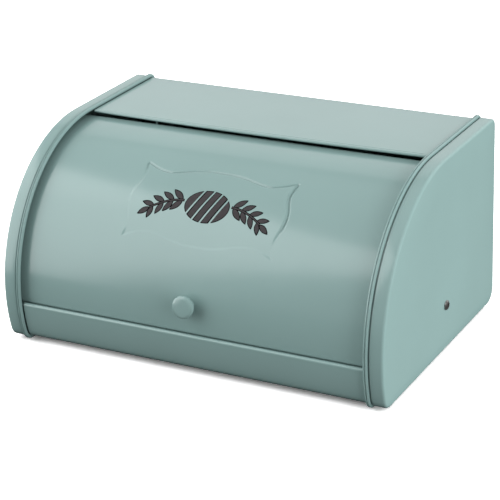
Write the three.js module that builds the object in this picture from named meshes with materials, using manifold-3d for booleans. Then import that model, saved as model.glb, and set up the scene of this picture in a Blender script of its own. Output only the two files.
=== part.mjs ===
// Roll-top bread bin in pressed steel sheet: two side caps, a wrap-around body,
// and a curved lid that turns about the centre of its own arc.
// Millimetres, +X to the right, +Y to the back, +Z up. Origin: centre of the
// bounding box's bottom face, so z = 0 is the worktop.
import * as THREE from 'three';
import { mergeVertices } from 'three/addons/utils/BufferGeometryUtils.js';
import Module from 'manifold-3d';

const wasm = await Module();
wasm.setup();

// ---- driving dimensions ----
const WIDTH = 400;            // over the flat outer faces of the side caps
const DEPTH = 272;            // front of the rim's arc to its flat back
const SHEET = 0.8;            // steel sheet
const RIM_RADIUS = 146;       // front arc of the side caps' rim
const ARC_Z = 46;             // arc centre above the rim's underside
const ARC_Y = RIM_RADIUS;     // arc centre behind the front of the rim
const FRONT_CORNER = 12;      // bottom front corner radius of the rim
const TOP_CORNER = 8;         // top rear corner radius
const BACK_CORNER = 15;       // bottom rear corner radius
const CAP_EDGE = 3;           // bend between a cap's face and its flange
const ROLL_RADIUS = 2.3;      // rolled seam round each rim
const ROLL_X = 182.9;         // centre of that roll from the middle plane
const ROLL_RISE = 0.1;        // its centre stands this far outside the flange
const LIFT = 3.6;             // rim underside above the worktop
const GAP = 0.3;              // clearance between neighbouring pieces

const BODY_INSET = 1.4;       // body sheet below the flange's outer surface
const BODY_HALF = 180.4;      // half width of the body sheets
const LIP_RADIUS = 2.1;       // rolled front edge of the top panel
const LIP_Y = 151;            // its centre at the ends
const LIP_BOW = 3.2;          // how far its middle stands forward
const APRON_TOP = 38.2;       // apron roll's centre above the rim's underside
const APRON_ROLL = 2.0;       // radius of the apron's rolled top edge
const APRON_ROLL_INSET = 2.9; // its centre inside the rim's arc
const JOGGLE = 1.1;           // inward step where the base tucks behind the back
const SEAM_Z = 22;            // lower edge of the back sheet

const LID_RADIUS = 138.5;     // outer surface of the lid
const LID_HALF = 197.5;       // half width of the lid
const LID_FROM = -6.5;        // lid's lower edge, degrees above the pivot, seen from the front
const LID_TO = 93;            // lid's rear edge
const LID_TRAVEL = 58;        // degrees the lid turns up and back
const LID_STEPS = 28;         // facets along the lid's arc
const PRESS_HEIGHT = 0.9;     // raised ornamental panel pressed into the lid
const PRESS_ARC = 115;        // its middle, as arc length above the pivot's level
const PRESS_REACH = 90;       // half width of the band of lid that it is cut from

const KNOB_ANGLE = 9;         // knob's axis above level
const KNOB_DIAMETER = 22;
const KNOB_HEIGHT = 12.4;
const SCREW_M4 = 4;
const SCREW_M5 = 5;
const ARM_X = 195.6;          // inner face of a lid arm
const ARM_SHEET = 1.2;
const BUSH_SLEEVE = 4;        // radius of the bush the arm turns on
const BUSH_FLANGE = 6.5;
const FOOT_X = 160;           // feet, from the middle plane
const FOOT_ROWS = { front: 45, back: 232 };
const STOP_X = 140;           // rubber stops, from the middle plane
const STOP_WIDTH = 14;
const STOP_BLOCK = 10;        // height and depth of an open stop

const COLOURS = {
  enamel: { color: 0x8fb0ac, roughness: 0.32, metalness: 0.0 },
  nickel: { color: 0xc9c8c4, roughness: 0.25, metalness: 1.0 },
  zinc: { color: 0xa8abad, roughness: 0.42, metalness: 1.0 },
  nylon: { color: 0xe8e6df, roughness: 0.5, metalness: 0.0 },
  rubber: { color: 0x2b2b2c, roughness: 0.85, metalness: 0.0 },
};

const bin = new THREE.Group();
const rad = THREE.MathUtils.degToRad;
const deg = THREE.MathUtils.radToDeg;

function addPart(name, geometry, finish) {
  const mesh = new THREE.Mesh(geometry, new THREE.MeshStandardMaterial(COLOURS[finish]));
  mesh.name = name;
  bin.add(mesh);
}

// ---- solids ----
function toSolid(geometry) {
  const bare = geometry.clone();
  bare.deleteAttribute('normal');
  bare.deleteAttribute('uv');
  const merged = mergeVertices(bare, 1e-4);
  return new wasm.Manifold(new wasm.Mesh({
    numProp: 3,
    vertProperties: new Float32Array(merged.attributes.position.array),
    triVerts: new Uint32Array(merged.index.array),
  }));
}

function toGeometry(solid) {
  const mesh = solid.getMesh();
  const geometry = new THREE.BufferGeometry();
  geometry.setAttribute('position', new THREE.BufferAttribute(mesh.vertProperties, mesh.numProp));
  geometry.setIndex(new THREE.BufferAttribute(mesh.triVerts, 1));
  geometry.computeVertexNormals();
  return geometry;
}

function join(first, ...rest) {
  return toGeometry(rest.reduce((solid, other) => solid.add(toSolid(other)), toSolid(first)));
}

function cut(body, ...tools) {
  return toGeometry(tools.reduce((solid, tool) => solid.subtract(toSolid(tool)), toSolid(body)));
}

// The same piece for the other end of the bin.
function mirrorX(geometry) {
  const mirrored = geometry.clone();
  mirrored.scale(-1, 1, 1);
  const index = mirrored.index.array;
  for (let i = 0; i < index.length; i += 3) {
    [index[i], index[i + 1]] = [index[i + 1], index[i]];
  }
  mirrored.computeVertexNormals();
  return mirrored;
}

// Extrudes an outline given as (y, z) points along X.
function prismAlongX(points, fromX, toX, holes = []) {
  const outline = THREE.ShapeUtils.isClockWise(points) ? [...points].reverse() : points;
  const shape = new THREE.Shape(outline);
  shape.holes = holes.map((hole) => new THREE.Path(hole));
  const geometry = new THREE.ExtrudeGeometry(shape, { depth: toX - fromX, bevelEnabled: false });
  const turn = new THREE.Matrix4().makeBasis(
    new THREE.Vector3(0, 1, 0),
    new THREE.Vector3(0, 0, 1),
    new THREE.Vector3(1, 0, 0),
  );
  return geometry.applyMatrix4(turn).translate(fromX, 0, 0);
}

// A round bar along X.
function barAlongX(radius, fromX, toX, y, z, sides = 16) {
  const geometry = new THREE.CylinderGeometry(radius, radius, toX - fromX, sides);
  return geometry.rotateZ(Math.PI / 2).translate((fromX + toX) / 2, y, z);
}

// A turned piece: (radius, height) points spun about +Z.
function turned(points, sides = 20) {
  const profile = points.map(([radius, height]) => new THREE.Vector2(radius, height));
  return new THREE.LatheGeometry(profile, sides).rotateX(Math.PI / 2);
}

// A round pin along Z, centred on the origin.
function pin(radius, length, sides = 12) {
  return new THREE.CylinderGeometry(radius, radius, length, sides).rotateX(Math.PI / 2);
}

// Profile of a flat ring, for turned().
const ringProfile = (inner, outer, from, to) => (
  [[inner, from], [outer, from], [outer, to], [inner, to], [inner, from]]);

// ---- the rim's outline ----
// Points of an arc in the (y, z) plane; 0 degrees is +Y and 90 is +Z.
function arcPoints(centreY, centreZ, radius, from, to, steps) {
  const points = [];
  for (let i = 0; i <= steps; i += 1) {
    const angle = rad(from + ((to - from) * i) / steps);
    const y = centreY + radius * Math.cos(angle);
    points.push(new THREE.Vector2(y, centreZ + radius * Math.sin(angle)));
  }
  return points;
}

// The front corner's bend runs smoothly into the main arc, which sets its place.
const FRONT_Y = ARC_Y - Math.sqrt((RIM_RADIUS - FRONT_CORNER) ** 2 - (ARC_Z - FRONT_CORNER) ** 2);
const FRONT_TANGENT = 180 + deg(Math.atan2(ARC_Z - FRONT_CORNER, ARC_Y - FRONT_Y));
const RIM_TOP = ARC_Z + RIM_RADIUS;

// The rim's four bends, each offset inwards by `inset`.
const mainArc = (inset, from, to, steps) => (
  arcPoints(ARC_Y, ARC_Z, RIM_RADIUS - inset, from, to, steps));
const frontBend = (inset, from, to, steps) => (
  arcPoints(FRONT_Y, FRONT_CORNER, FRONT_CORNER - inset, from, to, steps));
const topBend = (inset, from, to, steps) => (
  arcPoints(DEPTH - TOP_CORNER, RIM_TOP - TOP_CORNER, TOP_CORNER - inset, from, to, steps));
const backBend = (inset, from, to, steps) => (
  arcPoints(DEPTH - BACK_CORNER, BACK_CORNER, BACK_CORNER - inset, from, to, steps));

function rimOutline(inset) {
  return [
    ...frontBend(inset, 270, FRONT_TANGENT, 5).slice(0, -1),
    ...mainArc(inset, FRONT_TANGENT, 90, 20),
    ...topBend(inset, 90, 0, 4),
    ...backBend(inset, 0, -90, 5),
  ];
}

// ---- side caps ----
// Skin through a list of sections, each an x and an inset of the rim's outline,
// closed by a flat face at either end.
function capShell(sections) {
  const loops = sections.map(([x, inset]) => rimOutline(inset).map((p) => [x, p.x, p.y]));
  const count = loops[0].length;
  const positions = loops.flat(2);
  const index = [];
  for (let k = 0; k < loops.length - 1; k += 1) {
    for (let i = 0; i < count; i += 1) {
      const a = k * count + i;
      const b = k * count + ((i + 1) % count);
      index.push(a, b, b + count, a, b + count, a + count);
    }
  }
  const face = THREE.ShapeUtils.triangulateShape(rimOutline(sections[0][1]), []);
  const last = (loops.length - 1) * count;
  face.forEach(([a, b, c]) => index.push(a, b, c, last + c, last + b, last + a));
  const geometry = new THREE.BufferGeometry();
  geometry.setAttribute('position', new THREE.Float32BufferAttribute(positions, 3));
  geometry.setIndex(index);
  return geometry;
}

// Right-hand cap's section: outer face, edge bend, flange, rolled seam, and back.
function capSections() {
  const sections = [];
  const bendX = WIDTH / 2 - CAP_EDGE;
  for (let turn = 0; turn <= 90; turn += 30) {
    const x = bendX + CAP_EDGE * Math.cos(rad(turn));
    sections.push([x, CAP_EDGE - CAP_EDGE * Math.sin(rad(turn))]);
  }
  for (let turn = 0; turn <= 315; turn += 45) {
    const x = ROLL_X + ROLL_RADIUS * Math.cos(rad(turn));
    sections.push([x, -ROLL_RISE - ROLL_RADIUS * Math.sin(rad(turn))]);
  }
  sections.push([ROLL_X + ROLL_RADIUS, SHEET]);
  for (let turn = 90; turn >= 0; turn -= 30) {
    const bend = CAP_EDGE - SHEET;
    sections.push([bendX + bend * Math.cos(rad(turn)), CAP_EDGE - bend * Math.sin(rad(turn))]);
  }
  return sections;
}

const BOLT_CLEARANCE = 0.2;
const boltHole = barAlongX(
  SCREW_M5 / 2 + BOLT_CLEARANCE, WIDTH / 2 - 2 * SHEET, WIDTH / 2 + SHEET, ARC_Y, ARC_Z);
const sideCap = cut(capShell(capSections()), boltHole);
addPart('side_cap_right', sideCap, 'enamel');
addPart('side_cap_left', mirrorX(sideCap), 'enamel');

// ---- body sheets ----
// Thickens a run of outline points given as a function of the inset.
function bodySheet(run) {
  const outer = run(BODY_INSET);
  const inner = run(BODY_INSET + SHEET).reverse();
  return prismAlongX([...outer, ...inner], -BODY_HALF, BODY_HALF);
}

const apronAngle = 180 + deg(Math.asin((ARC_Z - APRON_TOP) / (RIM_RADIUS - APRON_ROLL_INSET)));
const backFlat = (inset, z) => new THREE.Vector2(DEPTH - inset, z);

// Floor, apron and the low upstand that steps inwards behind the back sheet.
const JOGGLE_FROM = 2;        // where the step starts and ends above the rear bend, and its top
const JOGGLE_TO = 5;
const UPSTAND = 16;

function baseAndApron() {
  const sheet = bodySheet((inset) => [
    ...mainArc(inset, apronAngle, FRONT_TANGENT, 3),
    ...frontBend(inset, FRONT_TANGENT, 270, 5).slice(1),
    ...backBend(inset, 270, 360, 5),
    backFlat(inset, BACK_CORNER + JOGGLE_FROM),
    backFlat(inset + JOGGLE, BACK_CORNER + JOGGLE_TO),
    backFlat(inset + JOGGLE, BACK_CORNER + UPSTAND),
  ]);
  const [centre] = mainArc(APRON_ROLL_INSET, apronAngle, apronAngle, 1);
  return join(sheet, barAlongX(APRON_ROLL, -BODY_HALF, BODY_HALF, centre.x, centre.y));
}

const SIDES = [[-1, 'left'], [1, 'right']];
const FEET = SIDES.flatMap(([side, word]) => Object.entries(FOOT_ROWS).map(([row, y]) => (
  { name: `${row}_${word}`, x: side * FOOT_X, y })));
const RIVET_HOLE = 1.9;
const baseHoles = FEET.map(({ x, y }) => pin(RIVET_HOLE, 4 * BODY_INSET).translate(x, y, BODY_INSET));
addPart('base_apron_panel', cut(baseAndApron(), ...baseHoles), 'enamel');

// Front edge of the top panel: bows forward by LIP_BOW in the middle.
const lipY = (x) => LIP_Y - LIP_BOW * (1 - (x / BODY_HALF) ** 2);

const LIP_STEPS = 12;

function topAndBack() {
  const plateFrom = LIP_Y + 4 * LIP_RADIUS;
  const bent = bodySheet((inset) => [
    new THREE.Vector2(plateFrom, RIM_TOP - inset),
    ...topBend(inset, 90, 0, 4),
    backFlat(inset, SEAM_Z),
  ]);
  const edge = [];
  for (let i = 0; i <= LIP_STEPS; i += 1) {
    const x = -BODY_HALF + (2 * BODY_HALF * i) / LIP_STEPS;
    edge.push(new THREE.Vector3(x, lipY(x), RIM_TOP - BODY_INSET - LIP_RADIUS));
  }
  const outline = edge.map((p) => new THREE.Vector2(p.x, p.y));
  outline.push(new THREE.Vector2(BODY_HALF, plateFrom + SHEET));
  outline.push(new THREE.Vector2(-BODY_HALF, plateFrom + SHEET));
  const flat = { depth: SHEET, bevelEnabled: false };
  const strip = new THREE.ExtrudeGeometry(new THREE.Shape(outline), flat);
  strip.translate(0, 0, RIM_TOP - BODY_INSET - SHEET);
  const circle = new THREE.Shape().absarc(0, 0, LIP_RADIUS, 0, 2 * Math.PI);
  const roll = new THREE.ExtrudeGeometry(circle, {
    steps: LIP_STEPS,
    curveSegments: 5,
    bevelEnabled: false,
    extrudePath: new THREE.CatmullRomCurve3(edge),
  });
  return join(bent, strip, roll);
}

const VENT = { radius: 2.5, pitch: 15, count: 7, z: RIM_TOP - 38 };
const vents = Array.from({ length: VENT.count }, (_, i) => (
  new THREE.CylinderGeometry(VENT.radius, VENT.radius, 10 * SHEET, 10)
    .translate((i - (VENT.count - 1) / 2) * VENT.pitch, DEPTH - BODY_INSET, VENT.z)));
addPart('top_back_panel', cut(topAndBack(), ...vents), 'enamel');

// ---- lid ----
// Angles on the lid count up from the front: this turns them into (y, z) angles.
const fromFront = (degrees) => 180 - degrees;
const lidArc = (radius, from, to, steps) => (
  arcPoints(ARC_Y, ARC_Z, radius, fromFront(from), fromFront(to), steps));

function sectorAlongX(inner, outer, from, to, steps, fromX, toX) {
  const points = [...lidArc(outer, from, to, steps), ...lidArc(inner, from, to, steps).reverse()];
  return prismAlongX(points, fromX, toX);
}

// Upper right quarter of the pressed panel's outline: (x, arc length from its middle).
const PRESS_OUTLINE = [
  [0, 39], [26, 36.5], [52, 31], [78, 38], [76.3, 25], [80, 12], [81.5, 0],
];

function pressedPanel() {
  const below = PRESS_OUTLINE.slice(0, -1).reverse().map(([x, s]) => [x, -s]);
  const right = [...PRESS_OUTLINE, ...below];
  const left = right.slice(1, -1).reverse().map(([x, s]) => [-x, s]);
  const outline = [...right, ...left].map(([x, s]) => (
    new THREE.Vector2(x, LID_RADIUS * Math.sin(s / LID_RADIUS))));
  const column = { depth: LID_RADIUS / 2, bevelEnabled: false };
  const prism = new THREE.ExtrudeGeometry(new THREE.Shape(outline), column);
  const foot = LID_RADIUS * 0.7;
  const middle = PRESS_ARC / LID_RADIUS;
  const along = new THREE.Vector3(0, Math.sin(middle), Math.cos(middle));
  const outward = new THREE.Vector3(0, -Math.cos(middle), Math.sin(middle));
  prism.applyMatrix4(new THREE.Matrix4().makeBasis(new THREE.Vector3(1, 0, 0), along, outward));
  prism.translate(0, ARC_Y + outward.y * foot, ARC_Z + outward.z * foot);
  const skin = sectorAlongX(
    LID_RADIUS - SHEET / 2, LID_RADIUS + PRESS_HEIGHT, LID_FROM, LID_TO, LID_STEPS,
    -PRESS_REACH, PRESS_REACH,
  );
  return toGeometry(toSolid(skin).intersect(toSolid(prism)));
}

// Places a piece whose own axis is +Z on the knob's axis, at a radius from the pivot.
function onKnobAxis(geometry, radius) {
  const angle = rad(KNOB_ANGLE);
  const y = ARC_Y - radius * Math.cos(angle);
  return geometry.rotateX(Math.PI / 2 - angle).translate(0, y, ARC_Z + radius * Math.sin(angle));
}

const lidSheet = sectorAlongX(
  LID_RADIUS - SHEET, LID_RADIUS, LID_FROM, LID_TO, LID_STEPS, -LID_HALF, LID_HALF);
const screwHole = onKnobAxis(pin(SCREW_M4 / 2 + GAP, 10 * SHEET), LID_RADIUS);
addPart('lid_sheet', cut(join(lidSheet, pressedPanel()), screwHole), 'enamel');

// Lid arm: a windowed sector plate with a curved flange spot-welded inside the lid.
const ARM = {
  from: 6, to: 84, steps: 16, eye: 12, eyeWrap: 80, window: [30, 120], windowAngles: [22, 68], flange: 12,
};
const armOuter = LID_RADIUS - SHEET - GAP;

function lidArm() {
  const eyeFrom = fromFront(ARM.to) - ARM.eyeWrap;
  const eyeTo = fromFront(ARM.from) + ARM.eyeWrap - 360;
  const eye = arcPoints(ARC_Y, ARC_Z, ARM.eye, eyeFrom, eyeTo, 10);
  const plateOutline = [...lidArc(armOuter, ARM.from, ARM.to, ARM.steps), ...eye];
  const [near, far] = ARM.window;
  const window = [
    ...lidArc(far, ...ARM.windowAngles, 8),
    ...lidArc(near, ...ARM.windowAngles, 4).reverse(),
  ];
  const plate = prismAlongX(plateOutline, ARM_X, ARM_X + ARM_SHEET, [window]);
  const flange = sectorAlongX(
    armOuter - ARM_SHEET, armOuter, ARM.from, ARM.to, ARM.steps, ARM_X - ARM.flange, ARM_X + ARM_SHEET);
  const pivotHole = barAlongX(
    BUSH_SLEEVE + GAP, ARM_X - ARM_SHEET, ARM_X + 2 * ARM_SHEET, ARC_Y, ARC_Z);
  return cut(join(plate, flange), pivotHole);
}

const arm = lidArm();
addPart('lid_arm_right', arm, 'enamel');
addPart('lid_arm_left', mirrorX(arm), 'enamel');

// ---- pivot: screw, shouldered bush, washer and nut, from outside inwards ----
const PIVOT = {
  headRadius: 4.8, headHeight: 2.3, headFlat: 2.4, headRim: 0.9, washerRadius: 7, washer: 1,
  nutFlats: 8, nut: 4.2, tip: 1,
};

// Turned pieces of the pivot, as (radius, x) points spun about the pivot's axis.
const onPivot = (points) => turned(points).rotateY(Math.PI / 2).translate(0, ARC_Y, ARC_Z);

function addPair(name, geometry, finish) {
  addPart(`${name}_right`, geometry, finish);
  addPart(`${name}_left`, mirrorX(toGeometry(toSolid(geometry))), finish);
}

const capOutside = WIDTH / 2 + GAP;
const capInside = WIDTH / 2 - SHEET - GAP;
const washerX = ARM_X - GAP - PIVOT.washer;
const nutX = washerX - GAP - PIVOT.nut;
addPair('pivot_screw', onPivot([
  [0, nutX - PIVOT.tip], [SCREW_M5 / 2, nutX - PIVOT.tip], [SCREW_M5 / 2, capOutside],
  [PIVOT.headRadius, capOutside], [PIVOT.headRadius, capOutside + PIVOT.headRim],
  [PIVOT.headRadius - PIVOT.headRim, capOutside + 2 * PIVOT.headRim],
  [PIVOT.headFlat, capOutside + PIVOT.headHeight], [0, capOutside + PIVOT.headHeight],
]), 'nickel');
const screwClear = SCREW_M5 / 2 + GAP;
const bushFrom = washerX + PIVOT.washer + GAP;
const shoulder = ARM_X + ARM_SHEET + GAP;
addPair('pivot_bush', onPivot([
  [screwClear, bushFrom], [BUSH_SLEEVE, bushFrom], [BUSH_SLEEVE, shoulder],
  [BUSH_FLANGE, shoulder], [BUSH_FLANGE, capInside], [screwClear, capInside],
  [screwClear, bushFrom],
]), 'nylon');
addPair('pivot_washer', onPivot(
  ringProfile(screwClear, PIVOT.washerRadius, washerX, washerX + PIVOT.washer)), 'zinc');
const nutRadius = PIVOT.nutFlats / Math.sqrt(3);
const nutBody = barAlongX(nutRadius, nutX, nutX + PIVOT.nut, ARC_Y, ARC_Z, 6);
const nutBore = barAlongX(
  screwClear, nutX - PIVOT.tip, nutX + PIVOT.nut + PIVOT.tip, ARC_Y, ARC_Z, 20);
addPair('pivot_nut', cut(nutBody, nutBore), 'zinc');

// ---- knob, with its screw and washer inside the lid ----
const knobRadius = KNOB_DIAMETER / 2;
const socket = SCREW_M4 / 2 + GAP;
const SOCKET_DEPTH = 8.5;
addPart('knob', onKnobAxis(turned([
  [socket, 0], [7, 0], [6, 1.2], [5.4, 3.2], [6, 5], [9, 6], [knobRadius - 0.4, 7.2],
  [knobRadius, 8.8], [knobRadius - 0.7, 10.6], [knobRadius - 2.6, 11.7],
  [knobRadius / 2, KNOB_HEIGHT - 0.1], [0, KNOB_HEIGHT], [0, SOCKET_DEPTH],
  [socket, SOCKET_DEPTH], [socket, 0],
], 24), LID_RADIUS + GAP), 'enamel');
const KNOB_WASHER = { radius: 5, thickness: 0.8 };
const KNOB_SCREW = { top: 2.6, head: 3.7, rim: 1.5, height: 2.3 };
const washerTop = LID_RADIUS - SHEET - GAP - 0.1;
const underHead = -KNOB_WASHER.thickness - GAP;
addPart('knob_washer', onKnobAxis(turned(
  ringProfile(socket, KNOB_WASHER.radius, -KNOB_WASHER.thickness, 0), 16), washerTop), 'zinc');
addPart('knob_screw', onKnobAxis(turned([
  [0, underHead - KNOB_SCREW.height], [KNOB_SCREW.top, underHead - KNOB_SCREW.height],
  [KNOB_SCREW.head, underHead - KNOB_SCREW.rim], [KNOB_SCREW.head, underHead],
  [SCREW_M4 / 2, underHead], [SCREW_M4 / 2, SOCKET_DEPTH - 0.5], [0, SOCKET_DEPTH - 0.5],
], 16), washerTop), 'zinc');

// ---- rubber stops the lid rests against, shut and open ----
const CLOSED_STOP = { depth: 4, height: 4 };    // its inner face inside the lid, and its height in degrees
const CLOSED_STOP_GAP = 0.2;                    // degrees below the shut lid's edge
const bodyInside = BODY_INSET + SHEET + GAP;    // inner face of the body sheets, with its gap
const openEdge = rad(fromFront(LID_TO + LID_TRAVEL));
const openEdgeZ = ARC_Z + (LID_RADIUS - SHEET) * Math.sin(openEdge) - GAP;
SIDES.forEach(([side, word]) => {
  const from = side * STOP_X - STOP_WIDTH / 2;
  const top = LID_FROM - CLOSED_STOP_GAP;
  addPart(`closed_stop_${word}`, sectorAlongX(
    LID_RADIUS - CLOSED_STOP.depth, RIM_RADIUS - bodyInside, top - CLOSED_STOP.height, top, 2,
    from, from + STOP_WIDTH), 'rubber');
  const block = new THREE.BoxGeometry(STOP_WIDTH, STOP_BLOCK, STOP_BLOCK);
  const y = DEPTH - bodyInside - STOP_BLOCK / 2;
  addPart(`open_stop_${word}`, block.translate(side * STOP_X, y, openEdgeZ - STOP_BLOCK / 2), 'rubber');
});

// ---- feet, each held by a rivet through the base ----
const FOOT = { top: 8, bottom: 6.8, chamfer: 1.4, recess: 3.4, recessDepth: 2.2 };
const RIVET = { edge: 0.6, head: 0.9, tail: 2.9, tailTop: 2.5, tailHeight: 1 };
const footTop = BODY_INSET - GAP;
FEET.forEach(({ name, x, y }) => {
  const foot = turned([
    [FOOT.recess, -LIFT], [FOOT.bottom, -LIFT], [FOOT.top, -LIFT + FOOT.chamfer],
    [FOOT.top, footTop], [RIVET_HOLE, footTop], [RIVET_HOLE, -LIFT + FOOT.recessDepth],
    [FOOT.recess, -LIFT + FOOT.recessDepth], [FOOT.recess, -LIFT],
  ], 16);
  addPart(`foot_${name}`, foot.translate(x, y, 0), 'rubber');
  const shank = RIVET_HOLE - GAP;
  const head = -LIFT + FOOT.recessDepth - GAP;
  const rivet = turned([
    [0, head - RIVET.head], [FOOT.recess - RIVET.edge, head - RIVET.head],
    [FOOT.recess - GAP, head], [shank, head], [shank, bodyInside], [RIVET.tail, bodyInside],
    [RIVET.tailTop, bodyInside + RIVET.tailHeight], [0, bodyInside + RIVET.tailHeight],
  ], 16);
  addPart(`foot_rivet_${name}`, rivet.translate(x, y, 0), 'zinc');
});

// ---- origin at the centre of the footprint, on the worktop ----
const bounds = new THREE.Box3().setFromObject(bin);
bin.position.set(0, -(bounds.min.y + bounds.max.y) / 2, -bounds.min.z);

export default bin;
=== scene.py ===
"""Looks for a roll-top bread bin in enamelled steel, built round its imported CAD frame.

Pieces are modelled in millimetres in the frame's own axes (+X right, +Y back, +Z up)
and turned into metres when their meshes are made.
"""

import math

import bmesh
import bpy
from mathutils import Matrix, Vector


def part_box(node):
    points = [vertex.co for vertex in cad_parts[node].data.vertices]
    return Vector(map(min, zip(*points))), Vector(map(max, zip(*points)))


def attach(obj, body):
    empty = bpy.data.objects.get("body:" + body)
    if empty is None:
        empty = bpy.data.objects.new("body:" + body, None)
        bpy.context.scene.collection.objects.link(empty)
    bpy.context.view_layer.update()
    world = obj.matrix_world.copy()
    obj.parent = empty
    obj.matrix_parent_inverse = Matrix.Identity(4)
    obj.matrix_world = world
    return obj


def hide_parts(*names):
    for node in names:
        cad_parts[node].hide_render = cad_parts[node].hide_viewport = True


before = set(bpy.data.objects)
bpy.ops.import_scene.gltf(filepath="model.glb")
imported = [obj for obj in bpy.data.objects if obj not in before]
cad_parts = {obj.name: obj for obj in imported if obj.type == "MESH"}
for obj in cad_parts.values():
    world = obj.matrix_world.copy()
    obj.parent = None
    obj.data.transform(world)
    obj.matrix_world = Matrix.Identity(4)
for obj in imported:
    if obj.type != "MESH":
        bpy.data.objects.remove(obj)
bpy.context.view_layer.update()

MM = 0.001


def box_mm(node):
    """Lowest and highest corner of a CAD node, in millimetres."""
    low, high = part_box(node)
    return low / MM, high / MM


# ---- places read from the frame ----
cap_low, cap_high = box_mm("side_cap_right")
screw_low, screw_high = box_mm("pivot_screw_right")
PIVOT_Y = (screw_low.y + screw_high.y) / 2
PIVOT_Z = (screw_low.z + screw_high.z) / 2

# ---- driving dimensions ----
SHEET = 0.8
HALF_WIDTH = cap_high.x
ROLL_RADIUS = 2.3
ROLL_RISE = 0.1
ROLL_X = cap_low.x + ROLL_RADIUS
ROLL_OUT = ROLL_RADIUS + ROLL_RISE
RIM_TOP = cap_high.z - ROLL_OUT
RIM_BOTTOM = cap_low.z + ROLL_OUT
RIM_BACK = cap_high.y - ROLL_OUT
RIM_RADIUS = RIM_TOP - PIVOT_Z
FRONT_CORNER = 12.0
TOP_CORNER = 8.0
BACK_CORNER = 15.0
CAP_EDGE = 3.0

BODY_INSET = 1.4
BODY_HALF = 179.6
LIP_RADIUS = 1.35
LIP_BACK = 5.7                # centre of the top panel's rolled edge behind the pivot, at the ends
LIP_BOW = 3.2
APRON_ROLL = 2.2
APRON_ROLL_INSET = 3.5
APRON_DROP = 7.8              # centre of the apron's roll below the pivot
SEAM_RISE = 22.0
JOGGLE = 1.1

LID_RADIUS = 138.5
LID_HALF = box_mm("lid_sheet")[1].x
LID_FROM = -6.5
LID_TO = 92.0
PRESS_TOP = 0.5               # how far the pressed panel stands out along its upper edge
PRESS_BOTTOM = -0.5           # and how far it is sunk along its lower edge
PRESS_ENDS = 0.6              # how much further it stands out at its two ends
CREASE_DEPTH = 1.25            # groove round its upper and right-hand edges
CREASE_WIDTH = 0.9
CREASE_OUT = 0.9              # how far outside the panel's outline the groove runs
PRESS_ARC = 115.0
KNOB_ANGLE = 9.0


def rad(degrees):
    return math.radians(degrees)


# ---- mesh helpers ----
def make_piece(name, points, faces, sharp=32):
    """A smooth-shaded object from points in millimetres; edges over `sharp` degrees stay crisp."""
    mesh = bpy.data.meshes.new(name)
    mesh.from_pydata([tuple(c * MM for c in p) for p in points], [], faces)
    mesh.validate()
    piece = bpy.data.objects.new(name, mesh)
    bpy.context.scene.collection.objects.link(piece)
    tidy_mesh(piece, sharp)
    return piece


def tidy_mesh(piece, sharp):
    """Merges doubled points, turns every face outwards and sets the shading."""
    work = bmesh.new()
    work.from_mesh(piece.data)
    bmesh.ops.remove_doubles(work, verts=work.verts, dist=1e-7)
    bmesh.ops.recalc_face_normals(work, faces=work.faces)
    work.to_mesh(piece.data)
    work.free()
    piece.data.shade_smooth()
    piece.data.set_sharp_from_angle(angle=rad(sharp))


def grid_faces(rows, columns, wrap_rows=False, wrap_columns=False, start=0):
    """Quads over a grid of points stored row by row."""
    faces = []
    for r in range(rows if wrap_rows else rows - 1):
        for c in range(columns if wrap_columns else columns - 1):
            after_r = (r + 1) % rows
            after_c = (c + 1) % columns
            faces.append((
                start + r * columns + c, start + r * columns + after_c,
                start + after_r * columns + after_c, start + after_r * columns + c))
    return faces


def apply_modifiers(piece, sharp=None):
    """Bakes a piece's modifiers into its mesh."""
    graph = bpy.context.evaluated_depsgraph_get()
    mesh = bpy.data.meshes.new_from_object(piece.evaluated_get(graph))
    piece.modifiers.clear()
    piece.data = mesh
    if sharp is not None:
        tidy_mesh(piece, sharp)


def cut(piece, cutters, sharp=32):
    """Takes the cutters out of the piece and deletes them."""
    for cutter in cutters:
        hole = piece.modifiers.new("cut", "BOOLEAN")
        hole.operation = "DIFFERENCE"
        hole.solver = "EXACT"
        hole.object = cutter
    apply_modifiers(piece, sharp)
    for cutter in cutters:
        bpy.data.objects.remove(cutter)


def turned(name, profile, sides=48, sharp=40):
    """A piece turned about +Z from (radius, height) points that start and end on the axis
    or close on themselves."""
    points = []
    for radius, height in profile:
        for i in range(sides):
            angle = 2 * math.pi * i / sides
            points.append((radius * math.cos(angle), radius * math.sin(angle), height))
    return make_piece(name, points, grid_faces(len(profile), sides, wrap_columns=True), sharp)


def place(piece, matrix):
    """Moves a piece's mesh, given a matrix in metres."""
    piece.data.transform(matrix)
    if matrix.determinant() < 0:
        piece.data.flip_normals()


def rounded(corners, steps=4):
    """Profile with arcs at its corners: (radius, height, fillet) for each corner."""
    points = []
    for i, (r, h, fillet) in enumerate(corners):
        here = Vector((r, h))
        if fillet == 0 or i in (0, len(corners) - 1):
            points.append((r, h))
            continue
        before = (Vector(corners[i - 1][:2]) - here).normalized()
        after = (Vector(corners[i + 1][:2]) - here).normalized()
        for k in range(steps + 1):
            t = k / steps
            bend = here + before * fillet * (1 - t) ** 2 + after * fillet * t ** 2
            points.append((bend.x, bend.y))
    return points


def finish_piece(piece, body, slot, nodes=()):
    piece.data.materials.clear()
    piece.data.materials.append(MATERIALS[slot])
    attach(piece, body)
    if nodes:
        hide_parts(*nodes)
    return piece


def mirrored(piece, name):
    """The same piece for the left-hand end."""
    twin = piece.copy()
    twin.data = piece.data.copy()
    twin.name = name
    twin.data.name = name
    bpy.context.scene.collection.objects.link(twin)
    place(twin, Matrix.Scale(-1, 4, (1, 0, 0)))
    return twin


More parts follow.
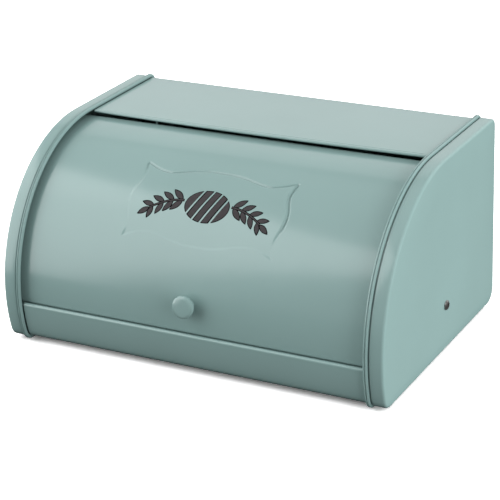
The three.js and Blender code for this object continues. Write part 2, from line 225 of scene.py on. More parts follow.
# ---- materials ----
def new_material(name, **values):
    """A Principled material with these socket values; returns it with its node tree and shader."""
    material = bpy.data.materials.new(name)
    material.use_nodes = True
    tree = material.node_tree
    shader = tree.nodes["Principled BSDF"]
    for socket, value in values.items():
        shader.inputs[socket.replace("_", " ")].default_value = value
    return material, tree, shader


def add_noise(tree, scale, detail=2.0, roughness=0.5):
    coordinates = tree.nodes.new("ShaderNodeTexCoord")
    noise = tree.nodes.new("ShaderNodeTexNoise")
    noise.inputs["Scale"].default_value = scale
    noise.inputs["Detail"].default_value = detail
    noise.inputs["Roughness"].default_value = roughness
    tree.links.new(coordinates.outputs["Object"], noise.inputs["Vector"])
    return noise.outputs["Fac"]


def vary_colour(tree, shader, noise, dark, light):
    """Base colour drifting between two tones with the noise."""
    ramp = tree.nodes.new("ShaderNodeValToRGB")
    ramp.color_ramp.elements[0].position = 0.3
    ramp.color_ramp.elements[1].position = 0.7
    ramp.color_ramp.elements[0].color = (*dark, 1)
    ramp.color_ramp.elements[1].color = (*light, 1)
    tree.links.new(noise, ramp.inputs["Fac"])
    tree.links.new(ramp.outputs["Color"], shader.inputs["Base Color"])


def vary_roughness(tree, shader, noise, low, high):
    spread = tree.nodes.new("ShaderNodeMapRange")
    spread.inputs["From Min"].default_value = 0.3
    spread.inputs["From Max"].default_value = 0.7
    spread.inputs["To Min"].default_value = low
    spread.inputs["To Max"].default_value = high
    tree.links.new(noise, spread.inputs["Value"])
    tree.links.new(spread.outputs["Result"], shader.inputs["Roughness"])


def add_bump(tree, shader, noise, strength, distance):
    bump = tree.nodes.new("ShaderNodeBump")
    bump.inputs["Strength"].default_value = strength
    bump.inputs["Distance"].default_value = distance
    tree.links.new(noise, bump.inputs["Height"])
    tree.links.new(bump.outputs["Normal"], shader.inputs["Normal"])


ENAMEL_DARK = (0.19, 0.29, 0.28)
ENAMEL_LIGHT = (0.20, 0.305, 0.295)


def enamel_material():
    """Stoved teal enamel: satin gloss, a trace of orange peel and tone drift."""
    material, tree, shader = new_material("teal_enamel", IOR=1.5)
    vary_colour(tree, shader, add_noise(tree, 9, 3), ENAMEL_DARK, ENAMEL_LIGHT)
    vary_roughness(tree, shader, add_noise(tree, 55, 3), 0.16, 0.19)
    add_bump(tree, shader, add_noise(tree, 160, 1), 0.02, 0.00001)
    return material


def metal_material(name, dark, light, low, high, grain):
    """Plated steel: metallic, with fine scratches in its roughness and bump."""
    material, tree, shader = new_material(name, Metallic=1.0)
    vary_colour(tree, shader, add_noise(tree, 260, 3), dark, light)
    vary_roughness(tree, shader, add_noise(tree, grain, 4, 0.7), low, high)
    add_bump(tree, shader, add_noise(tree, grain * 2, 3), 0.12, 0.00003)
    return material


def plastic_material(name, dark, light, low, high, grain):
    """Moulded nylon or rubber: a soft surface with a fine moulding texture."""
    material, tree, shader = new_material(name)
    vary_colour(tree, shader, add_noise(tree, 120, 3), dark, light)
    vary_roughness(tree, shader, add_noise(tree, grain, 2), low, high)
    add_bump(tree, shader, add_noise(tree, grain, 3), 0.2, 0.00005)
    return material


def ink_material(name, dark, light, shine):
    """Matt screen-printing ink."""
    material, tree, shader = new_material(name, Specular_IOR_Level=shine)
    vary_colour(tree, shader, add_noise(tree, 300, 3), dark, light)
    vary_roughness(tree, shader, add_noise(tree, 600, 2), 0.6, 0.75)
    return material


MATERIALS = {
    "enamel": enamel_material(),
    "nickel": metal_material("bright_nickel", (0.32, 0.32, 0.31), (0.42, 0.41, 0.40), 0.24, 0.34, 900),
    "zinc": metal_material("zinc_plate", (0.42, 0.43, 0.44), (0.55, 0.56, 0.57), 0.32, 0.48, 700),
    "nylon": plastic_material("natural_nylon", (0.70, 0.69, 0.65), (0.78, 0.77, 0.73), 0.4, 0.5, 800),
    "rubber": plastic_material(
        "black_rubber", (0.018, 0.018, 0.019), (0.028, 0.028, 0.029), 0.7, 0.85, 900),
    "ink": ink_material("print_grey", (0.040, 0.036, 0.038), (0.048, 0.043, 0.046), 0.1),
}
OUTLINE_INK = ink_material("print_outline", (0.004, 0.005, 0.005), (0.007, 0.008, 0.008), 0.02)


# ---- the rim's outline, as (y, z) points ----
def arc(centre_y, centre_z, radius, start, end, steps):
    """0 degrees is +Y and 90 is +Z."""
    points = []
    for i in range(steps + 1):
        angle = rad(start + (end - start) * i / steps)
        points.append((centre_y + radius * math.cos(angle), centre_z + radius * math.sin(angle)))
    return points


def between(p, q, steps):
    """Points inside the straight from p to q."""
    return [tuple(a + (b - a) * i / steps for a, b in zip(p, q)) for i in range(1, steps)]


FRONT_Z = RIM_BOTTOM + FRONT_CORNER
FRONT_Y = PIVOT_Y - math.sqrt((RIM_RADIUS - FRONT_CORNER) ** 2 - (PIVOT_Z - FRONT_Z) ** 2)
FRONT_TANGENT = 180 + math.degrees(math.atan2(PIVOT_Z - FRONT_Z, PIVOT_Y - FRONT_Y))


def main_arc(inset, start, end, steps):
    return arc(PIVOT_Y, PIVOT_Z, RIM_RADIUS - inset, start, end, steps)


def front_bend(inset, start, end, steps):
    return arc(FRONT_Y, FRONT_Z, FRONT_CORNER - inset, start, end, steps)


def top_bend(inset, start, end, steps):
    return arc(RIM_BACK - TOP_CORNER, RIM_TOP - TOP_CORNER, TOP_CORNER - inset, start, end, steps)


def back_bend(inset, start, end, steps):
    return arc(RIM_BACK - BACK_CORNER, RIM_BOTTOM + BACK_CORNER, BACK_CORNER - inset, start, end, steps)


def rim_outline(inset):
    front = front_bend(inset, 270, FRONT_TANGENT, 10)[:-1]
    curve = main_arc(inset, FRONT_TANGENT, 90, 90)
    top = top_bend(inset, 90, 0, 8)
    back = back_bend(inset, 0, -90, 10)
    return [
        *front, *curve, *between(curve[-1], top[0], 10), *top,
        *between(top[-1], back[0], 12), *back, *between(back[-1], front[0], 20)]


# ---- side caps ----
FLANGE_SHOULDER = 0.5         # small fillet where the flange turns down beside its roll
SLOT = 1.25                   # crevice between flange and roll
SLOT_DEPTH = 2.1
GROOVE_DEPTH = 1.1            # seam line along the middle of the roll
GROOVE_SPREAD = 13.0          # degrees


def roll_point(turn):
    """Point (x, inset) on the rolled seam; 90 degrees is straight out from the rim."""
    groove = GROOVE_DEPTH * math.exp(-((turn - 90) / GROOVE_SPREAD) ** 2)
    radius = ROLL_RADIUS - groove
    return ROLL_X + radius * math.cos(rad(turn)), -ROLL_RISE - radius * math.sin(rad(turn))


def cap_profile():
    """Section of the right-hand cap from its face round the edge bend, flange and roll to its inside."""
    bend_x = HALF_WIDTH - CAP_EDGE
    profile = []
    for turn in range(0, 91, 9):
        profile.append((
            bend_x + CAP_EDGE * math.cos(rad(turn)), CAP_EDGE - CAP_EDGE * math.sin(rad(turn))))
    slot_x = ROLL_X + ROLL_RADIUS + SLOT
    for turn in range(90, 181, 15):
        profile.append((
            slot_x + FLANGE_SHOULDER + FLANGE_SHOULDER * math.cos(rad(turn)),
            FLANGE_SHOULDER - FLANGE_SHOULDER * math.sin(rad(turn))))
    profile.append((slot_x - 0.02, SLOT_DEPTH - 0.2))
    profile.append((slot_x - 0.3, SLOT_DEPTH))
    for turn in [*range(-42, 60, 6), *range(60, 120, 3), *range(120, 271, 6)]:
        profile.append(roll_point(turn))
    profile.append((slot_x + 0.1, SLOT_DEPTH + 0.6))
    profile.append((slot_x + 1.2, SHEET))
    inner = CAP_EDGE - SHEET
    for turn in range(90, -1, -15):
        profile.append((bend_x + inner * math.cos(rad(turn)), CAP_EDGE - inner * math.sin(rad(turn))))
    return profile


BOLT_HOLE = 2.7
FACE_STEPS = (0.0, 0.05, 0.2, 0.5, 0.8)


def face_loops(x, rim_loop):
    """Loops from the bolt hole out to the rim, on the flat face at x."""
    loops = []
    for share in FACE_STEPS:
        loop = []
        for _, y, z in rim_loop:
            reach = math.hypot(y - PIVOT_Y, z - PIVOT_Z)
            scale = (BOLT_HOLE + (reach - BOLT_HOLE) * share) / reach
            loop.append((x, PIVOT_Y + (y - PIVOT_Y) * scale, PIVOT_Z + (z - PIVOT_Z) * scale))
        loops.append(loop)
    return loops


def build_side_caps():
    rings = [[(x, y, z) for y, z in rim_outline(inset)] for x, inset in cap_profile()]
    outer_face = face_loops(rings[0][0][0], rings[0])
    inner_face = face_loops(rings[-1][0][0], rings[-1])
    loops = [*outer_face, *rings, *reversed(inner_face)]
    points = [p for loop in loops for p in loop]
    faces = grid_faces(len(loops), len(loops[0]), wrap_rows=True, wrap_columns=True)
    right = make_piece("side_cap_right_shell", points, faces, sharp=50)
    left = mirrored(right, "side_cap_left_shell")
    finish_piece(right, "bin", "enamel", ["side_cap_right"])
    finish_piece(left, "bin", "enamel", ["side_cap_left"])


# ---- body sheets ----
def sheet_along_x(name, section, steps, sharp=35):
    """Sweeps a closed (y, z) section, given for each x, across the bin's width."""
    loops = []
    for i in range(steps + 1):
        x = -BODY_HALF + 2 * BODY_HALF * i / steps
        loops.append([(x, y, z) for y, z in section(x)])
    count = len(loops[0])
    points = [p for loop in loops for p in loop]
    faces = grid_faces(len(loops), count, wrap_columns=True)
    faces.append(tuple(range(count)))
    faces.append(tuple(steps * count + i for i in range(count)))
    return make_piece(name, points, faces, sharp)


LIP_GROOVE_BACK = 2.3         # crease behind the rolled lip
LIP_GROOVE_DEPTH = 0.7
VENT_RADIUS = 2.5
VENT_PITCH = 15.0
VENT_COUNT = 7
VENT_DROP = 38.0


def top_back_section(x):
    """Back edge, over the top corner, to the rolled lip at the front, and back inside."""
    lip_y = PIVOT_Y + LIP_BACK - LIP_BOW * (1 - (x / BODY_HALF) ** 2)
    top_z = RIM_TOP - BODY_INSET
    lip_z = top_z - LIP_RADIUS
    seam_z = RIM_BOTTOM + SEAM_RISE
    outer = [(RIM_BACK - BODY_INSET, seam_z), *top_bend(BODY_INSET, 0, 90, 10)]
    crease = lip_y + LIP_GROOVE_BACK
    for step in range(-4, 5):
        depth = LIP_GROOVE_DEPTH * math.cos(rad(step * 22.5)) ** 2
        outer.append((crease - step * 0.14, top_z - depth))
    roll = arc(lip_y, lip_z, LIP_RADIUS, 78, 318, 26)
    inner_z = top_z - SHEET
    inner = [(lip_y + LIP_RADIUS + 0.4, inner_z), (lip_y + 8, inner_z)]
    inner += top_bend(BODY_INSET + SHEET, 90, 0, 10)
    inner.append((RIM_BACK - BODY_INSET - SHEET, seam_z))
    return outer + roll + inner


def vent_cutters():
    cutters = []
    for i in range(VENT_COUNT):
        cutter = turned("vent", [(0, -4), (VENT_RADIUS, -4), (VENT_RADIUS, 4), (0, 4)], 32)
        x = (i - (VENT_COUNT - 1) / 2) * VENT_PITCH
        centre = Vector((x, RIM_BACK - BODY_INSET, RIM_TOP - VENT_DROP)) * MM
        place(cutter, Matrix.Translation(centre) @ Matrix.Rotation(rad(90), 4, "X"))
        cutters.append(cutter)
    return cutters


def build_top_back():
    panel = sheet_along_x("top_back_shell", top_back_section, 36)
    cut(panel, vent_cutters(), sharp=35)
    finish_piece(panel, "bin", "enamel", ["top_back_panel"])


APRON_ANGLE = 180 + math.degrees(math.asin(APRON_DROP / (RIM_RADIUS - APRON_ROLL_INSET)))
UPSTAND = ((2.0, 0.0), (2.6, 0.12), (4.4, 0.88), (5.0, 1.0), (16.0, 1.0))


def base_side(inset):
    """Apron, front bend, floor, rear bend and stepped upstand, at one depth in the sheet."""
    run = main_arc(inset, APRON_ANGLE + 0.5, FRONT_TANGENT, 10)
    run += front_bend(inset, FRONT_TANGENT, 270, 10)[1:]
    run += back_bend(inset, 270, 360, 10)
    for rise, share in UPSTAND:
        run.append((RIM_BACK - inset - JOGGLE * share, RIM_BOTTOM + BACK_CORNER + rise))
    return run


def base_section(x):
    centre_y, centre_z = main_arc(APRON_ROLL_INSET, APRON_ANGLE, APRON_ANGLE, 1)[0]
    roll = arc(centre_y, centre_z, APRON_ROLL, -60, 188, 26)
    return roll + base_side(BODY_INSET) + base_side(BODY_INSET + SHEET)[::-1]


def build_base_apron():
    panel = sheet_along_x("base_apron_shell", base_section, 24, sharp=40)
    cutters = []
    for node in FOOT_NODES:
        low, high = box_mm(node)
        cutter = turned("rivet_hole", [(0, 3), (1.9, 3), (1.9, 9), (0, 9)], 24)
        place(cutter, Matrix.Translation(Vector(((low.x + high.x) / 2, (low.y + high.y) / 2, 0)) * MM))
        cutters.append(cutter)
    cut(panel, cutters, sharp=40)
    finish_piece(panel, "bin", "enamel", ["base_apron_panel"])


# ---- lid ----
def on_lid(x, along, radius):
    """Point on a cylinder about the pivot; `along` runs up the lid from the pivot's level."""
    angle = along / LID_RADIUS
    return x, PIVOT_Y - radius * math.cos(angle), PIVOT_Z + radius * math.sin(angle)


# Upper right quarter of the pressed panel: (x, arc length from its middle).
PRESS_OUTLINE = ((0, 39), (14, 38.6), (28, 36.3), (42, 32.6), (54, 31.2), (66, 33.6), (78.5, 39.2))
PRESS_SIDE = ((76.6, 31), (76, 24), (78, 16), (80.6, 8), (81.5, 0))
PRESS_HALF = PRESS_OUTLINE[0][1]
PRESS_WALL = 2.8              # width of its sloping edge
PRESS_REACH_X = 86            # beyond these the lid is plain
PRESS_REACH_S = 45


def press_polygon():
    quarter = [*PRESS_OUTLINE, *PRESS_SIDE]
    lower = [(x, -s) for x, s in reversed(quarter[:-1])]
    right = quarter + lower
    left = [(-x, s) for x, s in reversed(right[1:-1])]
    return [Vector(p) for p in smooth_between_corners(right + left)]


def smooth_between_corners(points, steps=4):
    """Rounds a closed outline with a Catmull-Rom curve that keeps its four far corners."""
    corners = {i for i, (x, s) in enumerate(points) if abs(abs(x) - PRESS_OUTLINE[-1][0]) < 1e-6}
    count = len(points)
    smooth = []
    for i in range(count):
        p1, p2 = points[i], points[(i + 1) % count]
        p0 = p1 if i in corners else points[i - 1]
        p3 = p2 if (i + 1) % count in corners else points[(i + 2) % count]
        for k in range(steps):
            t = k / steps
            smooth.append(tuple(
                0.5 * (2 * b + (c - a) * t + (2 * a - 5 * b + 4 * c - d) * t * t
                       + (3 * b - a - 3 * c + d) * t ** 3)
                for a, b, c, d in zip(p0, p1, p2, p3)))
    return smooth


def signed_distance(point, polygon):
    """Distance to the outline, positive inside."""
    nearest = 1e9
    inside = False
    for i, b in enumerate(polygon):
        a = polygon[i - 1]
        edge = b - a
        share = max(0.0, min(1.0, (point - a).dot(edge) / edge.length_squared))
        nearest = min(nearest, (point - a - edge * share).length)
        if (a.y > point.y) != (b.y > point.y):
            inside ^= point.x < a.x + (point.y - a.y) * edge.x / edge.y
    return nearest if inside else -nearest


def eased(value, start, end):
    """0 before start, 1 after end, smooth between."""
    share = max(0.0, min(1.0, (value - start) / (end - start)))
    return share * share * (3 - 2 * share)


def press_level(x, s):
    """Height of the panel's face over the lid, at s above its middle."""
    share = (s + PRESS_HALF) / (2 * PRESS_HALF)
    tilt = PRESS_BOTTOM + (PRESS_TOP - PRESS_BOTTOM) * share
    return tilt + PRESS_ENDS * eased(abs(x), 20, 84) * eased(abs(s), PRESS_HALF, PRESS_HALF / 2)


def press_lift(x, along, polygon):
    """How far the lid's surface stands out at a point."""
    s = along - PRESS_ARC
    if abs(x) > PRESS_REACH_X or abs(s) > PRESS_REACH_S:
        return 0.0
    inside = signed_distance(Vector((x, s)), polygon)
    crease = CREASE_DEPTH * math.exp(-((inside + CREASE_OUT) / CREASE_WIDTH) ** 2)
    crease *= eased(s / PRESS_HALF + 0.6 * x / PRESS_SIDE[-1][0], 0.0, 0.5)
    return press_level(x, s) * eased(inside, -PRESS_WALL / 2, PRESS_WALL / 2) - crease


def spaced(*stops):
    """Rising values through stops given as (value, step up to it)."""
    values = [stops[0][0]]
    for (start, _), (end, step) in zip(stops, stops[1:]):
        count = max(1, round((end - start) / step))
        values += [start + (end - start) * i / count for i in range(1, count + 1)]
    return values


HEM_LINE = -5.8               # below this the lid is set in, to tuck behind the apron's roll
HEM_DEPTH = 1.5
HEM_BEND = 0.5


def build_lid():
    polygon = press_polygon()
    start = LID_RADIUS * rad(LID_FROM)
    end = LID_RADIUS * rad(LID_TO)
    xs = spaced(
        (-LID_HALF, 0), (-PRESS_REACH_X, 12), (-68, 0.6), (68, 1.1), (PRESS_REACH_X, 0.5),
        (LID_HALF, 12))
    alongs = spaced(
        (start, 0), (HEM_LINE - 2 * HEM_BEND, 3), (HEM_LINE + HEM_BEND, 0.15), (72, 3), (90, 0.7),
        (140, 1.1), (158, 0.5), (end, 3))
    outer = []
    inner = []
    for along in alongs:
        for x in xs:
            lift = press_lift(x, along, polygon) - HEM_DEPTH * eased(along, HEM_LINE, HEM_LINE - HEM_BEND)
            outer.append(on_lid(x, along, LID_RADIUS + lift))
            inner.append(on_lid(x, along, LID_RADIUS - SHEET + lift))
    rows, columns = len(alongs), len(xs)
    count = rows * columns
    faces = grid_faces(rows, columns) + grid_faces(rows, columns, start=count)
    border = [c for c in range(columns)]
    border += [r * columns + columns - 1 for r in range(1, rows)]
    border += [(rows - 1) * columns + c for c in range(columns - 2, -1, -1)]
    border += [r * columns for r in range(rows - 2, 0, -1)]
    for i, a in enumerate(border):
        b = border[(i + 1) % len(border)]
        faces.append((a, b, b + count, a + count))
    lid = make_piece("lid_shell", outer + inner, faces, sharp=50)
    hole = turned("hole", [(0, -5), (2.3, -5), (2.3, 5), (0, 5)], 24)
    place(hole, knob_matrix(LID_RADIUS))
    cut(lid, [hole], sharp=50)
    finish_piece(lid, "lid", "enamel", ["lid_sheet"])


def knob_matrix(radius):
    """Takes +Z to the knob's axis, with the origin at this radius from the pivot."""
    angle = rad(KNOB_ANGLE)
    centre = Vector((0, PIVOT_Y - radius * math.cos(angle), PIVOT_Z + radius * math.sin(angle))) * MM
    return Matrix.Translation(centre) @ Matrix.Rotation(math.pi / 2 - angle, 4, "X")


KNOB_PROFILE = (
    (2.3, 0, 0), (6.9, 0, 0.4), (5.9, 1.3, 0.5), (5.3, 3.0, 0.8), (5.6, 5.0, 0.8), (8.8, 6.0, 0.8),
    (10.6, 7.0, 0.8), (11.0, 8.9, 0.7), (10.7, 11.0, 0.8), (8.6, 12.0, 0.8), (5.5, 12.3, 1.5),
    (0, 12.4, 0))


def cross_cutter(size, width, depth):
    """A tapered cross recess, pointing down from z = 0."""
    points = []
    faces = []
    for along, across in ((size, width), (width, size)):
        base = len(points)
        for z, share in ((0.5, 1.0), (-depth, 0.55)):
            for sx, sy in ((-1, -1), (1, -1), (1, 1), (-1, 1)):
                points.append((sx * along * share / 2, sy * across * share / 2, z))
        faces += [tuple(base + i for i in quad) for quad in (
            (0, 3, 2, 1), (4, 5, 6, 7), (0, 1, 5, 4), (1, 2, 6, 5), (2, 3, 7, 6), (3, 0, 4, 7))]
    halves = []
    for half in (0, 1):
        own = points[half * 8:half * 8 + 8]
        own_faces = [tuple(i - half * 8 for i in f) for f in faces[half * 6:half * 6 + 6]]
        halves.append(make_piece("cross", own, own_faces))
    return halves


def pan_screw(name, head_radius, head_height, shank_radius, length):
    """Pan-head screw with a cross recess: its head's underside at z = 0, shank downwards."""
    screw = turned(name, rounded((
        (0, head_height, 0), (head_radius * 0.62, head_height, 1.0),
        (head_radius, head_height * 0.45, 0.7), (head_radius, 0, 0.15), (shank_radius, 0, 0),
        (shank_radius, -length + 0.6, 0), (shank_radius - 0.6, -length, 0), (0, -length, 0))), 64)
    cutters = cross_cutter(head_radius * 1.15, head_radius * 0.27, head_height * 0.75)
    for cutter in cutters:
        place(cutter, Matrix.Translation((0, 0, head_height * MM)))
    cut(screw, cutters, sharp=30)
    return screw


def build_knob():
    knob = turned("knob_body", [*rounded(KNOB_PROFILE, 4), (0, 8.5), (2.3, 8.5), (2.3, 0)], 96, sharp=60)
    place(knob, knob_matrix(LID_RADIUS + 0.1))
    finish_piece(knob, "lid", "enamel", ["knob"])
    inside = LID_RADIUS - SHEET - 0.1
    washer = turned("knob_washer_disc", rounded((
        (2.3, -0.8, 0), (5, -0.8, 0.2), (5, 0, 0.2), (2.3, 0, 0), (2.3, -0.8, 0))), 48)
    place(washer, knob_matrix(inside))
    finish_piece(washer, "lid", "zinc", ["knob_washer"])
    screw = pan_screw("knob_screw_cross", 3.7, 2.3, 2.0, 8.0)
    place(screw, knob_matrix(inside - 0.85) @ Matrix.Rotation(math.pi, 4, "X"))
    finish_piece(screw, "lid", "zinc", ["knob_screw"])


# ---- lid arms ----
ARM_X = 195.6
ARM_SHEET = 1.2
ARM_FROM, ARM_TO = 6.0, 84.0
ARM_EYE = 12.0
ARM_FLANGE = 12.0
ARM_OUTER = LID_RADIUS - SHEET - 0.2
WINDOW = (30.0, 120.0, 22.0, 68.0, 9.0)   # near and far radius, angles, corner radius


def polar(radius, degrees):
    """(y, z) at this radius from the pivot; degrees count up from the front."""
    return PIVOT_Y - radius * math.cos(rad(degrees)), PIVOT_Z + radius * math.sin(rad(degrees))


def window_outline():
    near, far, low, high, corner = WINDOW
    points = []
    for radius, start, end, inward in ((far, low, high, -1), (near, high, low, 1)):
        trim = math.degrees(corner / radius)
        side = 1 if end > start else -1
        points.append(polar(radius + inward * corner, start))
        points.append(polar(radius + inward * corner * 0.3, start + side * trim * 0.3))
        for i in range(17):
            points.append(polar(radius, start + side * trim + (end - start - 2 * side * trim) * i / 16))
        points.append(polar(radius + inward * corner * 0.3, end - side * trim * 0.3))
        points.append(polar(radius + inward * corner, end))
    return points


def plate_between(name, outline, low_x, high_x, sharp=35):
    """A flat plate of this (y, z) outline."""
    count = len(outline)
    points = [(low_x, y, z) for y, z in outline] + [(high_x, y, z) for y, z in outline]
    faces = grid_faces(2, count, wrap_columns=True)
    faces.append(tuple(range(count)))
    faces.append(tuple(range(count, 2 * count)))
    return make_piece(name, points, faces, sharp)


def build_lid_arms():
    """Windowed sector plate whose curved edge turns inwards as a flange under the lid."""
    bend = 2.0
    rim = [polar(ARM_OUTER - bend, ARM_FROM + (ARM_TO - ARM_FROM) * i / 48) for i in range(49)]
    wrap = 80
    eye = arc(PIVOT_Y, PIVOT_Z, ARM_EYE, 180 - ARM_TO - wrap, 180 - ARM_FROM + wrap - 360, 30)
    plate = plate_between("lid_arm_right_plate", rim + eye, ARM_X, ARM_X + ARM_SHEET)
    window = plate_between("window", window_outline(), ARM_X - 2, ARM_X + 4)
    hole = plate_between("eye", arc(PIVOT_Y, PIVOT_Z, 4.3, 0, 350, 35), ARM_X - 2, ARM_X + 4)
    cut(plate, [window, hole], sharp=35)
    section = [(ARM_X + ARM_SHEET, bend)]
    for turn in range(0, 91, 15):
        section.append((
            ARM_X + ARM_SHEET - bend + bend * math.cos(rad(turn)), bend - bend * math.sin(rad(turn))))
    section += [(ARM_X - ARM_FLANGE, 0), (ARM_X - ARM_FLANGE, ARM_SHEET)]
    inner = bend - ARM_SHEET
    for turn in range(90, -1, -15):
        section.append((
            ARM_X + ARM_SHEET - bend + inner * math.cos(rad(turn)), bend - inner * math.sin(rad(turn))))
    loops = []
    for i in range(49):
        y, z = polar(1, ARM_FROM + (ARM_TO - ARM_FROM) * i / 48)
        out_y, out_z = y - PIVOT_Y, z - PIVOT_Z
        loops.append([(
            x, PIVOT_Y + out_y * (ARM_OUTER - inset), PIVOT_Z + out_z * (ARM_OUTER - inset))
            for x, inset in section])
    count = len(section)
    faces = grid_faces(len(loops), count, wrap_columns=True)
    faces += [tuple(range(count)), tuple(48 * count + i for i in range(count))]
    flange = make_piece("flange", [p for loop in loops for p in loop], faces)
    weld = plate.modifiers.new("weld", "BOOLEAN")
    weld.operation = "UNION"
    weld.object = flange
    apply_modifiers(plate, 35)
    bpy.data.objects.remove(flange)
    left = mirrored(plate, "lid_arm_left_plate")
    finish_piece(plate, "lid", "enamel", ["lid_arm_right"])
    finish_piece(left, "lid", "enamel", ["lid_arm_left"])


# ---- pivots ----
def along_x(x):
    """Takes +Z to +X, with the origin on the pivot at this x."""
    return Matrix.Translation(Vector((x, PIVOT_Y, PIVOT_Z)) * MM) @ Matrix.Rotation(rad(90), 4, "Y")


def pair(piece, name, node, body, slot):
    """Finishes a right-hand piece and its left-hand twin."""
    twin = mirrored(piece, f"{name}_left_{piece.name.rsplit('_', 1)[1]}")
    finish_piece(piece, body, slot, [f"{node}_right"])
    finish_piece(twin, body, slot, [f"{node}_left"])


def build_pivots():
    head_x = HALF_WIDTH + 0.05
    screw = pan_screw("pivot_screw_right_cross", 4.8, 2.5, 2.5, head_x - screw_low.x)
    place(screw, along_x(head_x) @ Matrix.Rotation(rad(28), 4, "Z"))
    pair(screw, "pivot_screw", "pivot_screw", "bin", "nickel")

    low, high = box_mm("pivot_bush_right")
    shoulder = ARM_X + ARM_SHEET + 0.2
    bush = turned("pivot_bush_right_turned", rounded((
        (2.8, low.x, 0), (4, low.x, 0.3), (4, shoulder, 0), (6.5, shoulder, 0.2),
        (6.5, high.x, 0.2), (2.8, high.x, 0), (2.8, low.x, 0))), 64)
    place(bush, along_x(0))
    pair(bush, "pivot_bush", "pivot_bush", "bin", "nylon")

    low, high = box_mm("pivot_washer_right")
    washer = turned("pivot_washer_right_disc", rounded((
        (2.8, low.x, 0), (7, low.x, 0.25), (7, high.x, 0.25), (2.8, high.x, 0), (2.8, low.x, 0))), 64)
    place(washer, along_x(0))
    pair(washer, "pivot_washer", "pivot_washer", "bin", "zinc")

    low, high = box_mm("pivot_nut_right")
    flats = 8.0
    nut = turned("pivot_nut_right_hex", [
        (0, low.x), (flats / 2, low.x), (flats / math.sqrt(3), low.x + 0.6),
        (flats / math.sqrt(3), high.x - 0.6), (flats / 2, high.x), (0, high.x)], 6, sharp=20)
    place(nut, along_x(0))
    bore = turned("bore", [(0, low.x - 2), (2.8, low.x - 2), (2.8, high.x + 2), (0, high.x + 2)], 32)
    place(bore, along_x(0))
    cut(nut, [bore], sharp=20)
    pair(nut, "pivot_nut", "pivot_nut", "bin", "zinc")


# ---- stops and feet ----
def soften(piece, width, segments=3):
    """Rounds every edge of a block."""
    bevel = piece.modifiers.new("round", "BEVEL")
    bevel.width = width * MM
    bevel.segments = segments
    bevel.limit_method = "ANGLE"
    bevel.angle_limit = rad(30)
    apply_modifiers(piece, 40)


def build_stops():
    for side, word in ((-1, "left"), (1, "right")):
        low, high = box_mm(f"closed_stop_{word}")
        outer = RIM_RADIUS - BODY_INSET - SHEET - 0.1
        top, bottom = LID_FROM - 0.2, LID_FROM - 4.2
        outline = [polar(outer, top + (bottom - top) * i / 6) for i in range(7)]
        outline += [polar(LID_RADIUS - 4, bottom + (top - bottom) * i / 6) for i in range(7)]
        pad = plate_between(f"closed_stop_{word}_pad", outline, low.x, high.x)
        soften(pad, 1.0)
        finish_piece(pad, "bin", "rubber", [f"closed_stop_{word}"])
        low, high = box_mm(f"open_stop_{word}")
        outline = [(low.y, low.z), (high.y, low.z), (high.y, high.z), (low.y, high.z)]
        block = plate_between(f"open_stop_{word}_pad", outline, low.x, high.x)
        soften(block, 1.4)
        finish_piece(block, "bin", "rubber", [f"open_stop_{word}"])


FOOT_NODES = [f"foot_{row}_{word}" for row in ("front", "back") for word in ("left", "right")]


def build_feet():
    for node in FOOT_NODES:
        low, high = box_mm(node)
        centre = Matrix.Translation(Vector(((low.x + high.x) / 2, (low.y + high.y) / 2, 0)) * MM)
        top = high.z + 0.25
        foot = turned(f"{node}_pad", rounded((
            (3.4, 2.2, 0), (3.4, 0, 0.3), (6.8, 0, 0.7), (8, 1.4, 0.9), (8, top, 0.4), (1.9, top, 0),
            (1.9, 2.2, 0), (3.4, 2.2, 0))), 64)
        place(foot, centre)
        finish_piece(foot, "bin", "rubber", [node])
        rivet_node = node.replace("foot_", "foot_rivet_")
        rivet_low, rivet_high = box_mm(rivet_node)
        seat = RIM_BOTTOM + BODY_INSET + SHEET + 0.05
        rivet = turned(f"{rivet_node}_head", rounded((
            (0, rivet_low.z, 0), (2.8, rivet_low.z, 0.5), (3.1, 1.9, 0.2), (1.6, 1.9, 0),
            (1.6, seat, 0), (2.9, seat, 0.2), (2.5, rivet_high.z, 0.5), (0, rivet_high.z, 0))), 40)
        place(rivet, centre)
        finish_piece(rivet, "bin", "zinc", [rivet_node])


# ---- printed wheat ears and loaf ----
PRINT_MIDDLE = PRESS_ARC - 2.0
OUTLINE_GROW = 0.75


